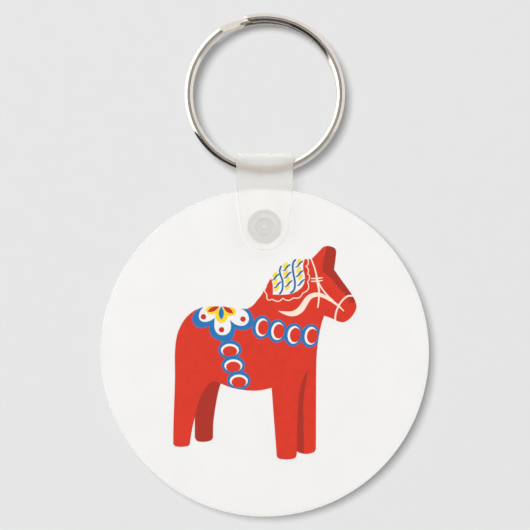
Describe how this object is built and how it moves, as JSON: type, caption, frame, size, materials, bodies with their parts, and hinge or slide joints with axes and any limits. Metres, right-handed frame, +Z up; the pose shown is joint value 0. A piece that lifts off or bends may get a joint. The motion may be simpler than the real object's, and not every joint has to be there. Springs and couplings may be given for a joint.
{
  "type": "button keyring",
  "caption": "Round white button keyring with a printed red folk-art horse, a clear snap strap and a metal split ring.",
  "frame": {"origin": "centre of the split ring, midway through its two turns", "axes": "+Z up, from the disc towards the ring, as the keyring hangs; the printed face looks along -Y; +X is the picture's right"},
  "size_m": [0.0572, 0.0058, 0.0876],
  "materials": {
    "nickel": "polished nickel plate with light wear",
    "strap_plastic": "frosted, slightly cloudy flexible plastic",
    "disc_plastic": "white, satin",
    "label_film": "white printed film, satin",
    "ink_red": "printed ink",
    "ink_dark_red": "printed ink",
    "ink_blue": "printed ink",
    "ink_dark_blue": "printed ink",
    "ink_yellow": "printed ink",
    "ink_white": "printed ink",
    "ink_cream": "printed ink"
  },
  "bodies": {
    "ring": {"split_ring": "nickel"},
    "strap": {"snap_strap": "strap_plastic"},
    "button": {"button_disc": "disc_plastic", "face_label": "label_film", "horse_red": "ink_red", "horse_shade": "ink_dark_red", "flower_blue": "ink_blue", "flower_yellow": "ink_yellow", "flower_red": "ink_red", "bead_blue": "ink_blue", "bead_white": "ink_white", "mane_lines": "ink_dark_blue", "mane_yellow": "ink_yellow", "mane_scallop": "ink_cream", "bridle": "ink_cream"}
  },
  "joints": [
    {"name": "strap_swing", "type": "hinge", "parent": "ring", "child": "strap", "pos_m": [0, 0, -0.01275], "axis": [1, 0, 0], "range_deg": [-120, 120]},
    {"name": "button_swivel", "type": "hinge", "parent": "strap", "child": "button", "pos_m": [0, 0, -0.02311], "axis": [0, 1, 0], "range_deg": [-20, 20]}
  ]
}
